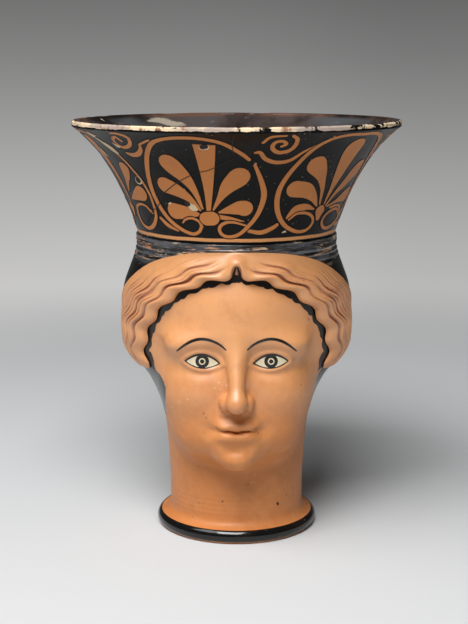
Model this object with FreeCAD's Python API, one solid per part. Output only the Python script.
import FreeCAD, Part
import math
import os

from FreeCAD import Vector

# Head vase of fired clay: a flaring mouth bowl luted onto a mould-made head, on a thrown pedestal
# and foot. Millimetres, +Z up, face towards -Y, origin in the middle of the foot's resting face.

# Foot and pedestal
FOOT_HEIGHT = 6.4
FOOT_RADIUS = 38.8
FOOT_SWELL_HEIGHT = 2.9
FOOT_REST_RADIUS = 36.6
FOOT_TOP_RADIUS = 37.1
FOOT_BORE_RADIUS = 27.5
FOOT_BORE_CHAMFER = 1.6
PEDESTAL_HEIGHT = 17.6
PEDESTAL_FLARE_INSET = 0.4
PEDESTAL_FLARE_HEIGHT = 4.2
NECK_RADIUS = 32.2
PEDESTAL_WALL = 6.0
FLOOR_THICKNESS = 4.5
FLOOR_SEAT = 2.4
FLOOR_RISE = 1.7
FLOOR_GAP = 0.15

# Head: neck at the bottom, skull, open crown at the top
HEAD_HEIGHT = 115.6
HEAD_WALL = 6.5
SKULL_HALF_WIDTH = 54.3
SKULL_BACK = 57.5
CROWN_INSET = 0.3
CROWN_LEDGE_DEPTH = 4.0

# Face: a third of the height from hairline to chin, and where the hairline lies below the crown
FACE_THIRD = 29.5
HAIRLINE_DROP = 12.6

# Collar between head and bowl
COLLAR_HEIGHT = 3.2
COLLAR_PROUD = 1.0
COLLAR_RIDGE = 0.5
COLLAR_RIDGE_COUNT = 2

# Mouth bowl
BOWL_HEIGHT = 53.2
BOWL_BASE_RADIUS = 46.5
RIM_RADIUS = 77.0
LIP_HEIGHT = 2.7
LIP_THICKNESS = 3.6
LIP_ROUND = 0.9
SPIGOT_SHOULDER = 3.5
SPIGOT_WALL = 4.0
SPIGOT_GAP = 0.15

# Hair: how far it stands over the head, its strands and its waves
HAIR_FRONT_LIFT = 4.6
HAIR_SIDE_LIFT = 5.0
HAIR_STRAND_WIDTH = 4.8
HAIR_STRAND_DEPTH = 1.2
HAIR_STRAND_COUNT = 4
HAIR_GROOVE_WIDTH = 1.3
HAIR_WAVE_DEPTH = 1.1
HAIR_FRONT_RISE = 1.0
HAIR_PARTING_RISE = 3.6
HAIR_EDGE = 0.8
HAIR_GAP = 0.15
HAIR_CROWN_GAP = 0.2
HAIR_END_HEIGHT = 57.0
HAIR_FRONT_TURN = 62.0
HAIR_BACK_TURN = 98.0
HAIR_WAVE_COUNT = 5.8

# Handle at the back
HANDLE_WIDTH = 16.0
HANDLE_THICKNESS = 7.0
HANDLE_BEND_RADIUS = 17.0
HANDLE_FINGER_GAP = 9.0
HANDLE_UPPER_HEIGHT = 33.0
HANDLE_LOWER_DEPTH = 30.0

# Clay coils pressed into the side seams inside the head
COIL_WIDTH = 8.0
COIL_PROUD = 2.4
COIL_FOOT_GAP = 5.0
COIL_CROWN_GAP = 5.0

OVERRUN = 1.0

FULL_TURN = 360
HALF_TURN = 180
QUARTER_TURN = 90

# How many stations the smooth surfaces pass through
FACE_COLUMN_COUNT = 36
FACE_ROW_COUNT = 48
BACK_COLUMN_COUNT = 12
BACK_ROW_COUNT = 16
HOLLOW_COLUMN_COUNT = 12
HOLLOW_ROW_COUNT = 8
HAIR_STATION_COUNT = 40
HAIR_POINT_COUNT = 26
COIL_STATION_COUNT = 6

# The search for the face's surface: it starts well outside, in shares of a face third, takes this
# share of each distance as its step, and stops within a small share of a face third
SEARCH_START_SHARE = 2.5
SEARCH_STEP_SHARE = 0.8
SEARCH_END_SHARE = 0.00005
SEARCH_STEP_COUNT = 60

PEDESTAL_FLARE_RADIUS = FOOT_TOP_RADIUS - PEDESTAL_FLARE_INSET
PEDESTAL_BORE_RADIUS = NECK_RADIUS - PEDESTAL_WALL
FLOOR_RADIUS = PEDESTAL_BORE_RADIUS + FLOOR_SEAT
SPIGOT_RADIUS = BOWL_BASE_RADIUS - SPIGOT_SHOULDER
COLLAR_RADIUS = BOWL_BASE_RADIUS + COLLAR_PROUD
CROWN_RADIUS = COLLAR_RADIUS - CROWN_INSET
HANDLE_REACH = SKULL_BACK + HANDLE_FINGER_GAP + HANDLE_THICKNESS / 2

PEDESTAL_Z = FOOT_HEIGHT
HEAD_Z = PEDESTAL_Z + PEDESTAL_HEIGHT
COLLAR_Z = HEAD_Z + HEAD_HEIGHT
BOWL_Z = COLLAR_Z + COLLAR_HEIGHT
TOP_Z = BOWL_Z + BOWL_HEIGHT
LEDGE_Z = COLLAR_Z - CROWN_LEDGE_DEPTH
FLOOR_Z = PEDESTAL_Z + FLOOR_RISE
HAIRLINE_Z = COLLAR_Z - HAIRLINE_DROP
NOSE_Z = HAIRLINE_Z - 2 * FACE_THIRD

# The head's plain outline. Each row: height, then how far the sides, the front and the back have
# grown from the neck's radius to their widest. Above the widest row the sides and the back shrink
# to the crown's radius.
OUTLINE_SHARES = (
    (0, 0, 0, 0), (0.104, 0.034, 0.027, 0.035), (0.208, 0.077, 0.067, 0.10),
    (0.285, 0.131, 0.12, 0.24), (0.363, 0.235, 0.22, 0.44), (0.441, 0.48, 0.353, 0.68),
    (0.528, 0.815, 0.487, 0.88), (0.614, 0.955, 0.587, 0.98), (0.727, 1, 0.71, 1),
    (0.81, 0.95, 0.85, 0.80), (0.89, 0.52, 0.93, 0.44), (0.952, 0.148, 0.985, 0.14), (1, 0, 1, 0))
WIDEST_ROW_INDEX = 8

# The face, built up from masses of clay. Shares of a face third, measured from the head's axis
# (across, forward) and from the base of the nose (up): centre, half sizes, tilt in degrees, and
# how softly the mass runs into its neighbours.
MASS_SHARES = (
    (0, 0.27, 1.36, 1.32, 1.455, 1.15, 0, 0.27),
    (0, 0.30, 0.37, 1.26, 1.36, 1.37, 0, 0.20),
    (0.60, 0.93, 0.17, 0.54, 0.66, 0.62, 0, 0.30),
    (0.50, 0.86, -0.47, 0.50, 0.66, 0.46, 0, 0.30),
    (0, 1.12, -0.61, 0.50, 0.60, 0.37, 0, 0.27),
    (0, 1.46, -0.775, 0.26, 0.29, 0.225, 0, 0.22),
    (0.56, 1.335, 1.00, 0.50, 0.31, 0.17, -4, 0.32))
SOCKET_SHARES = (
    (0.53, 1.84, 0.76, 0.36, 0.27, 0.22, 0, 0.22),
    (0.27, 1.90, 0.77, 0.12, 0.22, 0.20, 0, 0.16))
EYE_SHARES = (0.52, 1.235, 0.728, 0.36, 0.335, 0.31, 0, 0.07)
NOSE_RIDGE_SHARES = ((0, 1.575, 1.08), (0, 1.93, 0.205), 0.135, 0.118, 0.20)
NOSE_SHARES = (
    (0, 1.925, 0.15, 0.145, 0.165, 0.14, 0, 0.14),
    (0.185, 1.745, 0.12, 0.085, 0.15, 0.11, 0, 0.08))
MOUTH_SHARES = (
    (0, 1.30, -0.30, 0.50, 0.43, 0.38, 0, 0.27),
    (0.135, 1.535, -0.255, 0.27, 0.25, 0.085, -8, 0.06),
    (0, 1.60, -0.27, 0.10, 0.21, 0.07, 0, 0.06),
    (0.09, 1.535, -0.42, 0.25, 0.245, 0.10, 4, 0.06))
CREASE_SHARES = (
    (0, 1.845, -0.320, 0.37, 0.15, 0.030, 0, 0.035),
    (0, 1.90, -0.61, 0.28, 0.19, 0.085, 0, 0.14))

# The bowl's flare, as pulls on its curve: out from the base to the rim, and up.
FLARE_SHARES = ((0, 0), (0.04, 0.02), (0.26, 0.67), (1, 1))

# The hair frames the face in an arch and meets the crown in a wider one. Each arch is an oval with
# its own fullness across and upwards, and the front one rises to a notch at the parting. Across a
# lock, from the face to the crown: where the roll stands highest. Along it: the last part, which
# thins out, and what is left of its thickness at the end.
ARCH_FRONT_ACROSS = 1.8
ARCH_FRONT_UP = 1.8
ARCH_BACK_ACROSS = 2.5
ARCH_BACK_UP = 1.9
PARTING_SHARE = 0.025
HAIR_CREST_SHARE = 0.2
HAIR_TAPER_SHARE = 0.3
HAIR_END_SHARE = 0.4


def eased(low, high, low_slope, high_slope, gap, share):
    """Height of the smooth curve between two stations, by the share of the gap between them."""
    rest = 1 - share
    return (rest * rest * (1 + 2 * share) * low + share * rest * rest * gap * low_slope
            + share * share * (3 - 2 * share) * high - share * share * rest * gap * high_slope)


def outline_rows():
    """Heights with half width, front and back of the plain head, in millimetres."""
    rows = []
    for index, (height, side, front, back) in enumerate(OUTLINE_SHARES):
        narrow = NECK_RADIUS if index <= WIDEST_ROW_INDEX else CROWN_RADIUS
        rows.append((HEAD_Z + height * HEAD_HEIGHT,
                     narrow + side * (SKULL_HALF_WIDTH - narrow),
                     NECK_RADIUS + front * (CROWN_RADIUS - NECK_RADIUS),
                     narrow + back * (SKULL_BACK - narrow)))
    return rows


ROWS = outline_rows()


def slope(column, index):
    """Slope of one column of the outline at a row."""
    before = ROWS[max(index - 1, 0)]
    after = ROWS[min(index + 1, len(ROWS) - 1)]
    return (after[column] - before[column]) / (after[0] - before[0])


SLOPES = [[0] + [slope(column, index) for column in (1, 2, 3)] for index in range(len(ROWS))]


def plain_sizes(z):
    """Half width, front and back of the plain head at a height."""
    index = 0
    while index < len(ROWS) - 2 and z > ROWS[index + 1][0]:
        index += 1
    low = ROWS[index]
    high = ROWS[index + 1]
    gap = high[0] - low[0]
    share = min(max((z - low[0]) / gap, 0), 1)
    return [eased(low[column], high[column], SLOPES[index][column], SLOPES[index + 1][column],
                  gap, share) for column in (1, 2, 3)]


def oval_radius(half_width, front, back, turn):
    """Radius of an oval ring at a turn from the face, in degrees."""
    depth = front if math.cos(math.radians(turn)) > 0 else back
    across = math.sin(math.radians(turn)) / half_width
    along = math.cos(math.radians(turn)) / depth
    return 1 / math.hypot(across, along)


def plain_radius(turn, z, wall=0):
    """Radius of the plain head, or of the hollow inside it, at a turn and a height."""
    half_width, front, back = plain_sizes(z)
    return oval_radius(half_width - wall, front - wall, back - wall, turn)


def joined(first, second, soft):
    """Distance to two masses of clay run into each other."""
    overlap = max(soft - abs(first - second), 0) / soft
    return min(first, second) - overlap * overlap * soft / 4


def pressed(first, hollow, soft):
    """Distance to clay with a hollow pressed into it."""
    return -joined(-first, hollow, soft)


def lump(across, forward, up, row):
    """Distance to a rounded lump: centre, half sizes and tilt as in the tables above."""
    turn = math.radians(row[6])
    side = across - row[0]
    rise = up - row[2]
    along = (side * math.cos(turn) + rise * math.sin(turn)) / row[3]
    out = (forward - row[1]) / row[4]
    over = (rise * math.cos(turn) - side * math.sin(turn)) / row[5]
    size = math.sqrt(along * along + out * out + over * over)
    grade = math.sqrt((along / row[3]) ** 2 + (out / row[4]) ** 2 + (over / row[5]) ** 2)
    return size * (size - 1) / grade


def ridge(across, forward, up):
    """Distance to the round ridge of the nose, from its root to its tip."""
    root, tip, root_radius, tip_radius, soft = NOSE_RIDGE_SHARES
    step = [tip[axis] - root[axis] for axis in (0, 1, 2)]
    off = (across - root[0], forward - root[1], up - root[2])
    length = sum(value * value for value in step)
    share = min(max(sum(off[axis] * step[axis] for axis in (0, 1, 2)) / length, 0), 1)
    gap = math.sqrt(sum((off[axis] - share * step[axis]) ** 2 for axis in (0, 1, 2)))
    return gap - (root_radius + (tip_radius - root_radius) * share)


def face_gap(x, y, z):
    """Distance from a point to the head with its face, negative inside."""
    half_width, front, back = plain_sizes(z)
    depth = front if y < 0 else back
    gap = (math.hypot(x / half_width, y / depth) - 1) * min(half_width, depth) / FACE_THIRD
    across = abs(x) / FACE_THIRD
    forward = -y / FACE_THIRD
    up = (z - NOSE_Z) / FACE_THIRD
    for row in MASS_SHARES:
        gap = joined(gap, lump(across, forward, up, row), row[-1])
    for row in SOCKET_SHARES:
        gap = pressed(gap, lump(across, forward, up, row), row[-1])
    gap = joined(gap, lump(across, forward, up, EYE_SHARES), EYE_SHARES[-1])
    gap = joined(gap, ridge(across, forward, up), NOSE_RIDGE_SHARES[-1])
    for row in NOSE_SHARES + MOUTH_SHARES:
        gap = joined(gap, lump(across, forward, up, row), row[-1])
    for row in CREASE_SHARES:
        gap = pressed(gap, lump(across, forward, up, row), row[-1])
    return gap * FACE_THIRD


def head_radius(turn, z):
    """Radius of the head with its face, found by closing in on it from outside."""
    if math.cos(math.radians(turn)) <= 0:
        return plain_radius(turn, z)
    across = math.sin(math.radians(turn))
    forward = math.cos(math.radians(turn))
    radius = SEARCH_START_SHARE * FACE_THIRD
    for step in range(SEARCH_STEP_COUNT):
        gap = face_gap(radius * across, -radius * forward, z)
        if gap < SEARCH_END_SHARE * FACE_THIRD:
            break
        radius -= SEARCH_STEP_SHARE * gap
    return radius


def polar(radius, turn, z):
    """Point at a radius and a turn from the face, in degrees."""
    return Vector(radius * math.sin(math.radians(turn)), -radius * math.cos(math.radians(turn)), z)


def moulding(points):
    """Solid of revolution. A point given as a pair of points is the middle of an arc."""
    edges = []
    start = points[0]
    middle = None
    for point in points[1:] + points[:1]:
        if point[0] == "through":
            middle = point
            continue
        if middle is None:
            edges.append(Part.LineSegment(Vector(start[0], 0, start[1]),
                                          Vector(point[0], 0, point[1])).toShape())
        else:
            edges.append(Part.Arc(Vector(start[0], 0, start[1]), Vector(middle[1], 0, middle[2]),
                                  Vector(point[0], 0, point[1])).toShape())
        start = point
        middle = None
    face = Part.Face(Part.Wire(edges))
    return face.revolve(Vector(0, 0, 0), Vector(0, 0, 1), FULL_TURN)


def skin(turns, heights, radius_at):
    """Smooth surface through a grid of points."""
    grid = [[polar(radius_at(turn, z), turn, z) for turn in turns] for z in heights]
    surface = Part.BSplineSurface()
    surface.interpolate(grid)
    return surface.toShape()


def steps(start, end, count):
    """Even steps from start to end."""
    return [start + (end - start) * index / count for index in range(count + 1)]


def segment(start, end):
    """Straight edge."""
    return Part.LineSegment(start, end).toShape()


def filled(turns, heights, radius_at):
    """Solid block of half a head, from its skin back to the flat seam."""
    outer = skin(turns, heights, radius_at)
    low_rim, side, other_side, high_rim = sorted(outer.Edges, key=lambda edge: edge.CenterOfMass.z)
    faces = [outer]
    chords = []
    for rim in (low_rim, high_rim):
        chord = segment(rim.Vertexes[0].Point, rim.Vertexes[-1].Point)
        chords.append(chord)
        faces.append(Part.Face(Part.Wire([rim, chord])))
    faces.append(Part.Face(Part.Wire(Part.__sortEdges__([side, other_side] + chords))))
    shell = Part.makeShell(faces)
    shell.sewShape()
    solid = Part.Solid(shell)
    if solid.Volume < 0:
        solid.reverse()
    return solid


def hollow(wall, low, high):
    """The space inside the head, within a wall, between two heights."""
    rings = []
    for z in steps(low, high, HOLLOW_ROW_COUNT):
        points = [polar(plain_radius(turn, z, wall), turn, z)
                  for turn in steps(0, FULL_TURN, HOLLOW_COLUMN_COUNT)[:-1]]
        ring = Part.BSplineCurve()
        ring.interpolate(Points=points, PeriodicFlag=True)
        rings.append(Part.Wire(ring.toShape()))
    return Part.makeLoft(rings, True)


def tube(outer_radius, inner_radius, low, high):
    """Straight ring standing on a height."""
    ring = Part.makeCylinder(outer_radius, high - low, Vector(0, 0, low))
    if inner_radius > 0:
        ring = ring.cut(Part.makeCylinder(inner_radius, high - low + 2 * OVERRUN,
                                          Vector(0, 0, low - OVERRUN)))
    return ring


def foot_ring():
    """Glossy foot: a ring with a swelling edge, hollow underneath."""
    return moulding([
        (FOOT_BORE_RADIUS + FOOT_BORE_CHAMFER, 0), (FOOT_REST_RADIUS, 0),
        ("through", FOOT_RADIUS, FOOT_SWELL_HEIGHT), (FOOT_TOP_RADIUS, FOOT_HEIGHT),
        (FOOT_BORE_RADIUS, FOOT_HEIGHT), (FOOT_BORE_RADIUS, FOOT_BORE_CHAMFER)])


def neck_pedestal():
    """Thrown pedestal: it sweeps in from the foot to the neck and holds the floor in a rebate."""
    flare_z = PEDESTAL_Z + PEDESTAL_FLARE_HEIGHT
    bend = (NECK_RADIUS + (PEDESTAL_FLARE_RADIUS - NECK_RADIUS) * (1 - math.sqrt(0.5)),
            flare_z - PEDESTAL_FLARE_HEIGHT * math.sqrt(0.5))
    floor_top = FLOOR_Z + FLOOR_THICKNESS
    return moulding([
        (FLOOR_RADIUS, PEDESTAL_Z), (PEDESTAL_FLARE_RADIUS, PEDESTAL_Z),
        ("through", bend[0], bend[1]), (NECK_RADIUS, flare_z),
        (NECK_RADIUS, HEAD_Z), (PEDESTAL_BORE_RADIUS, HEAD_Z),
        (PEDESTAL_BORE_RADIUS, floor_top), (FLOOR_RADIUS, floor_top)])


def floor_disc():
    """Disc that closes the bottom, pushed up into the rebate of the pedestal."""
    return tube(FLOOR_RADIUS - FLOOR_GAP, 0, FLOOR_Z, FLOOR_Z + FLOOR_THICKNESS)


def collar_ring():
    """Ridged ring round the bowl's spigot, between the head's crown and the bowl."""
    ridge_height = COLLAR_HEIGHT / COLLAR_RIDGE_COUNT
    points = [(SPIGOT_RADIUS + SPIGOT_GAP, COLLAR_Z), (COLLAR_RADIUS, COLLAR_Z)]
    for index in range(COLLAR_RIDGE_COUNT):
        low = COLLAR_Z + index * ridge_height
        points.append(("through", COLLAR_RADIUS + COLLAR_RIDGE, low + ridge_height / 2))
        points.append((COLLAR_RADIUS, low + ridge_height))
    points.append((SPIGOT_RADIUS + SPIGOT_GAP, BOWL_Z))
    return moulding(points)


def flare(base_radius, lip_radius, base_z, lip_z):
    """The bowl's flaring curve, from its base to under its lip."""
    poles = []
    for out, rise in FLARE_SHARES:
        poles.append(Vector(base_radius + out * (lip_radius - base_radius), 0,
                            base_z + rise * (lip_z - base_z)))
    curve = Part.BezierCurve()
    curve.setPoles(poles)
    return curve.toShape()


def mouth_bowl():
    """Flaring bowl with an upright lip, and a spigot that goes down into the head's crown."""
    lip_z = TOP_Z - LIP_HEIGHT
    throat = SPIGOT_RADIUS - SPIGOT_WALL
    inside = RIM_RADIUS - LIP_THICKNESS
    corner = LIP_ROUND * (1 - math.sqrt(0.5))
    outer = flare(BOWL_BASE_RADIUS, RIM_RADIUS, BOWL_Z, lip_z)
    inner = flare(throat, inside, BOWL_Z, TOP_Z - LIP_ROUND)
    spigot_low = LEDGE_Z
    edges = [
        outer,
        segment(Vector(RIM_RADIUS, 0, lip_z), Vector(RIM_RADIUS, 0, TOP_Z - LIP_ROUND)),
        Part.Arc(Vector(RIM_RADIUS, 0, TOP_Z - LIP_ROUND),
                 Vector(RIM_RADIUS - corner, 0, TOP_Z - corner),
                 Vector(RIM_RADIUS - LIP_ROUND, 0, TOP_Z)).toShape(),
        segment(Vector(RIM_RADIUS - LIP_ROUND, 0, TOP_Z), Vector(inside + LIP_ROUND, 0, TOP_Z)),
        Part.Arc(Vector(inside + LIP_ROUND, 0, TOP_Z), Vector(inside + corner, 0, TOP_Z - corner),
                 Vector(inside, 0, TOP_Z - LIP_ROUND)).toShape(),
        inner,
        segment(Vector(throat, 0, BOWL_Z), Vector(throat, 0, spigot_low)),
        segment(Vector(throat, 0, spigot_low), Vector(SPIGOT_RADIUS, 0, spigot_low)),
        segment(Vector(SPIGOT_RADIUS, 0, spigot_low), Vector(SPIGOT_RADIUS, 0, BOWL_Z)),
        segment(Vector(SPIGOT_RADIUS, 0, BOWL_Z), Vector(BOWL_BASE_RADIUS, 0, BOWL_Z))]
    face = Part.Face(Part.Wire(Part.__sortEdges__(edges)))
    return face.revolve(Vector(0, 0, 0), Vector(0, 0, 1), FULL_TURN)


def hair_edge(half_turn, top_z, share, fullness, upright):
    """Turn and height of one edge of the hair, by the share of the way from parting to lock."""
    end_z = HEAD_Z + HAIR_END_HEIGHT
    swing = math.radians(QUARTER_TURN * share)
    turn = half_turn * math.sin(swing) ** (2 / fullness)
    z = end_z + (top_z - end_z) * max(math.cos(swing), 0) ** (2 / upright)
    return turn, z


def hair_edges(along):
    """Both edges of the hair at a share of the way along it, and the width between them."""
    front = hair_edge(HAIR_FRONT_TURN, HAIRLINE_Z + HAIR_FRONT_RISE, along, ARCH_FRONT_ACROSS,
                      ARCH_FRONT_UP)
    back = hair_edge(HAIR_BACK_TURN, COLLAR_Z - HAIR_CROWN_GAP, along, ARCH_BACK_ACROSS,
                     ARCH_BACK_UP)
    width = math.hypot(math.radians(back[0] - front[0]) * CROWN_RADIUS, back[1] - front[1])
    return front, back, width


def hair_place(along, across):
    """Turn and height of a point of the hair, along the lock and across it from face to crown."""
    front, back, width = hair_edges(along)
    notch = HAIR_PARTING_RISE * math.exp(-((along / PARTING_SHARE) ** 2))
    swing = (HAIR_WAVE_DEPTH * math.cos(2 * math.pi * HAIR_WAVE_COUNT * along) + notch) / width
    share = across + (1 - across) * swing
    return front[0] + share * (back[0] - front[0]), front[1] + share * (back[1] - front[1])


def hair_groove(along, across):
    """How deep the grooves between the strands are. Each is shallower than the one before it."""
    width = hair_edges(along)[2]
    depth = 0
    for index in range(1, HAIR_STRAND_COUNT):
        place = index * HAIR_STRAND_WIDTH
        room = min(max((width - place) / HAIR_STRAND_WIDTH, 0), 1)
        near = math.exp(-(((across * width - place) / HAIR_GROOVE_WIDTH) ** 2))
        depth += HAIR_STRAND_DEPTH * room * near / index
    return depth * math.sin(math.pi * along)


def hair_lift(along, across):
    """How far the hair stands over the head, with its strands."""
    lift = HAIR_FRONT_LIFT + (HAIR_SIDE_LIFT - HAIR_FRONT_LIFT) * min(2 * along, 1)
    if along > 1 - HAIR_TAPER_SHARE:
        gone = (along - 1 + HAIR_TAPER_SHARE) / HAIR_TAPER_SHARE
        lift *= 1 - (1 - HAIR_END_SHARE) * gone * gone
    if across < HAIR_CREST_SHARE:
        away = 1 - across / HAIR_CREST_SHARE
        rise = math.sqrt(1 - away * away)
    else:
        away = (across - HAIR_CREST_SHARE) / (1 - HAIR_CREST_SHARE)
        rise = (1 + math.cos(math.pi * away)) / 2
    return HAIR_EDGE + (lift - HAIR_EDGE) * rise - hair_groove(along, across) * rise


def hair_section(along):
    """Closed outline across a lock of hair: its rounded outside and its seat on the head."""
    outside = []
    seat = []
    for across in steps(0, 1, HAIR_POINT_COUNT):
        turn, z = hair_place(along, across)
        radius = head_radius(turn, z)
        outside.append(polar(radius + hair_lift(along, across), turn, z))
        seat.append(polar(radius + HAIR_GAP, turn, z))
    curves = []
    for points in (outside, seat):
        curve = Part.BSplineCurve()
        curve.interpolate(Points=points, Parameters=steps(0, 1, HAIR_POINT_COUNT))
        curves.append(curve.toShape())
    return Part.Wire([curves[0], segment(outside[-1], seat[-1]), curves[1],
                      segment(seat[0], outside[0])])


def hair_roll():
    """The hair left of the parting, from the parting to the end of the lock."""
    return Part.makeLoft([hair_section(along) for along in steps(0, 1, HAIR_STATION_COUNT)], True)


def bowl_core():
    """The bowl without its hollow, to seat the handle on its outside."""
    edges = [flare(BOWL_BASE_RADIUS, RIM_RADIUS, BOWL_Z, TOP_Z - LIP_HEIGHT)]
    start, end = edges[0].Vertexes[0].Point, edges[0].Vertexes[-1].Point
    top = Vector(0, 0, end.z)
    bottom = Vector(0, 0, start.z)
    edges += [segment(end, top), segment(top, bottom), segment(bottom, start)]
    face = Part.Face(Part.Wire(edges))
    return face.revolve(Vector(0, 0, 0), Vector(0, 0, 1), FULL_TURN)


def handle(bowl, skull):
    """Strap handle at the back, from the bowl's wall down to the back of the head."""
    upper_z = BOWL_Z + HANDLE_UPPER_HEIGHT
    lower_z = COLLAR_Z - HANDLE_LOWER_DEPTH
    root = SPIGOT_RADIUS
    straight = HANDLE_REACH - HANDLE_BEND_RADIUS
    corner = HANDLE_BEND_RADIUS * (1 - math.sqrt(0.5))
    path = [
        segment(Vector(0, root, upper_z), Vector(0, straight, upper_z)),
        Part.Arc(Vector(0, straight, upper_z),
                 Vector(0, HANDLE_REACH - corner, upper_z - corner),
                 Vector(0, HANDLE_REACH, upper_z - HANDLE_BEND_RADIUS)).toShape(),
        segment(Vector(0, HANDLE_REACH, upper_z - HANDLE_BEND_RADIUS),
                Vector(0, HANDLE_REACH, lower_z + HANDLE_BEND_RADIUS)),
        Part.Arc(Vector(0, HANDLE_REACH, lower_z + HANDLE_BEND_RADIUS),
                 Vector(0, HANDLE_REACH - corner, lower_z + corner),
                 Vector(0, straight, lower_z)).toShape(),
        segment(Vector(0, straight, lower_z), Vector(0, root, lower_z))]
    strap = Part.Ellipse(Vector(HANDLE_WIDTH / 2, root, upper_z),
                         Vector(0, root, upper_z + HANDLE_THICKNESS / 2), Vector(0, root, upper_z))
    solid = Part.Wire(path).makePipeShell([Part.Wire(strap.toShape())], True, True)
    for seat in [bowl] + skull:
        solid = solid.cut(seat)
    return solid


def seam_coil(side, cavity):
    """Coil of clay pressed along a side seam, inside the head."""
    rings = []
    for z in steps(HEAD_Z + COIL_FOOT_GAP, LEDGE_Z - COIL_CROWN_GAP, COIL_STATION_COUNT):
        middle = Vector(side * plain_radius(QUARTER_TURN, z, HEAD_WALL), 0, z)
        strap = Part.Ellipse(middle + Vector(0, COIL_WIDTH / 2, 0),
                             middle + Vector(side * COIL_PROUD, 0, 0), middle)
        rings.append(Part.Wire(strap.toShape()))
    return Part.makeLoft(rings, True).common(cavity)


def save(name, shape):
    """Write one piece of the vase."""
    shape.exportStep("parts/" + name + ".step")


def main():
    """Build every piece of the vase in its place."""
    os.makedirs("parts", exist_ok=True)
    face_block = filled(steps(-QUARTER_TURN, QUARTER_TURN, FACE_COLUMN_COUNT),
                        steps(HEAD_Z, COLLAR_Z, FACE_ROW_COUNT), head_radius)
    back_block = filled(steps(QUARTER_TURN, QUARTER_TURN + HALF_TURN, BACK_COLUMN_COUNT),
                        steps(HEAD_Z, COLLAR_Z, BACK_ROW_COUNT), plain_radius)
    skull = [face_block, back_block]
    cavity = hollow(HEAD_WALL, HEAD_Z, LEDGE_Z)
    crown = tube(SPIGOT_RADIUS + SPIGOT_GAP, 0, LEDGE_Z, COLLAR_Z + OVERRUN)
    crown.rotate(Vector(0, 0, 0), Vector(0, 0, 1), QUARTER_TURN / 2)
    save("foot_ring", foot_ring())
    save("neck_pedestal", neck_pedestal())
    save("floor_disc", floor_disc())
    save("head_front", face_block.cut(cavity).cut(crown))
    save("head_back", back_block.cut(cavity).cut(crown))
    roll = hair_roll()
    save("hair_left", roll)
    save("hair_right", roll.mirror(Vector(0, 0, 0), Vector(1, 0, 0)))
    save("seam_coil_left", seam_coil(1, cavity))
    save("seam_coil_right", seam_coil(-1, cavity))
    save("collar_ring", collar_ring())
    save("mouth_bowl", mouth_bowl())
    save("handle", handle(bowl_core(), skull))


main()
